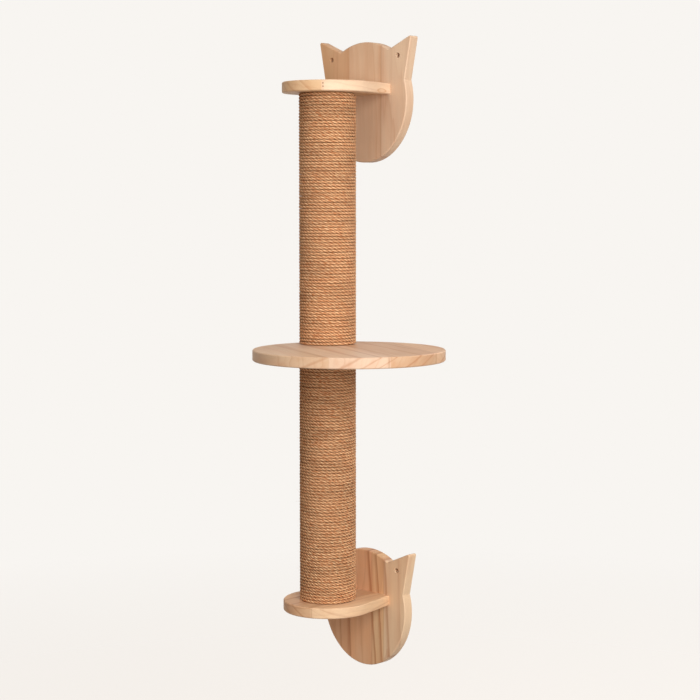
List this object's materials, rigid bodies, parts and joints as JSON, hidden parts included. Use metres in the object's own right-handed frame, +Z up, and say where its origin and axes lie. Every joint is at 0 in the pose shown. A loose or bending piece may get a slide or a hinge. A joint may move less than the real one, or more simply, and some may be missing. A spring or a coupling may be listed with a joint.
{
  "type": "wall mounted cat tree",
  "caption": "Wall mounted cat tree: rope-wound posts between cat-head wall plates with shelves, and a round platform at mid height.",
  "frame": {"origin": "centre of the four wall screw holes, on the wall plane at the backs of the two wall plates", "axes": "+Z up, +Y into the wall, so the tree stands out towards -Y; +X to the right of someone facing the wall"},
  "size_m": [0.3461, 0.302, 1.0329],
  "materials": {
    "pine": "satin sanded pine, edge glued",
    "card": "matt kraft cardboard",
    "plug_wood": "plain sanded wood",
    "rope": "twisted jute rope, matt and hairy",
    "zinc": "zinc plated steel",
    "insert_zinc": "yellow zinc plated steel"
  },
  "bodies": {
    "root": {"lower_bolt_washer": "zinc", "lower_plate_screws": "zinc", "lower_post_bottom_plug": "plug_wood", "lower_post_inserts": "insert_zinc", "lower_post_top_plug": "plug_wood", "lower_post_tube": "card", "lower_rope": "rope", "lower_shelf": "pine", "lower_shelf_bolt": "zinc", "lower_wall_plate": "pine", "platform_stud": "zinc", "round_platform": "pine", "upper_bolt_washer": "zinc", "upper_plate_screws": "zinc", "upper_post_bottom_plug": "plug_wood", "upper_post_inserts": "insert_zinc", "upper_post_top_plug": "plug_wood", "upper_post_tube": "card", "upper_rope": "rope", "upper_shelf": "pine", "upper_shelf_bolt": "zinc", "upper_wall_plate": "pine"}
  },
  "joints": []
}
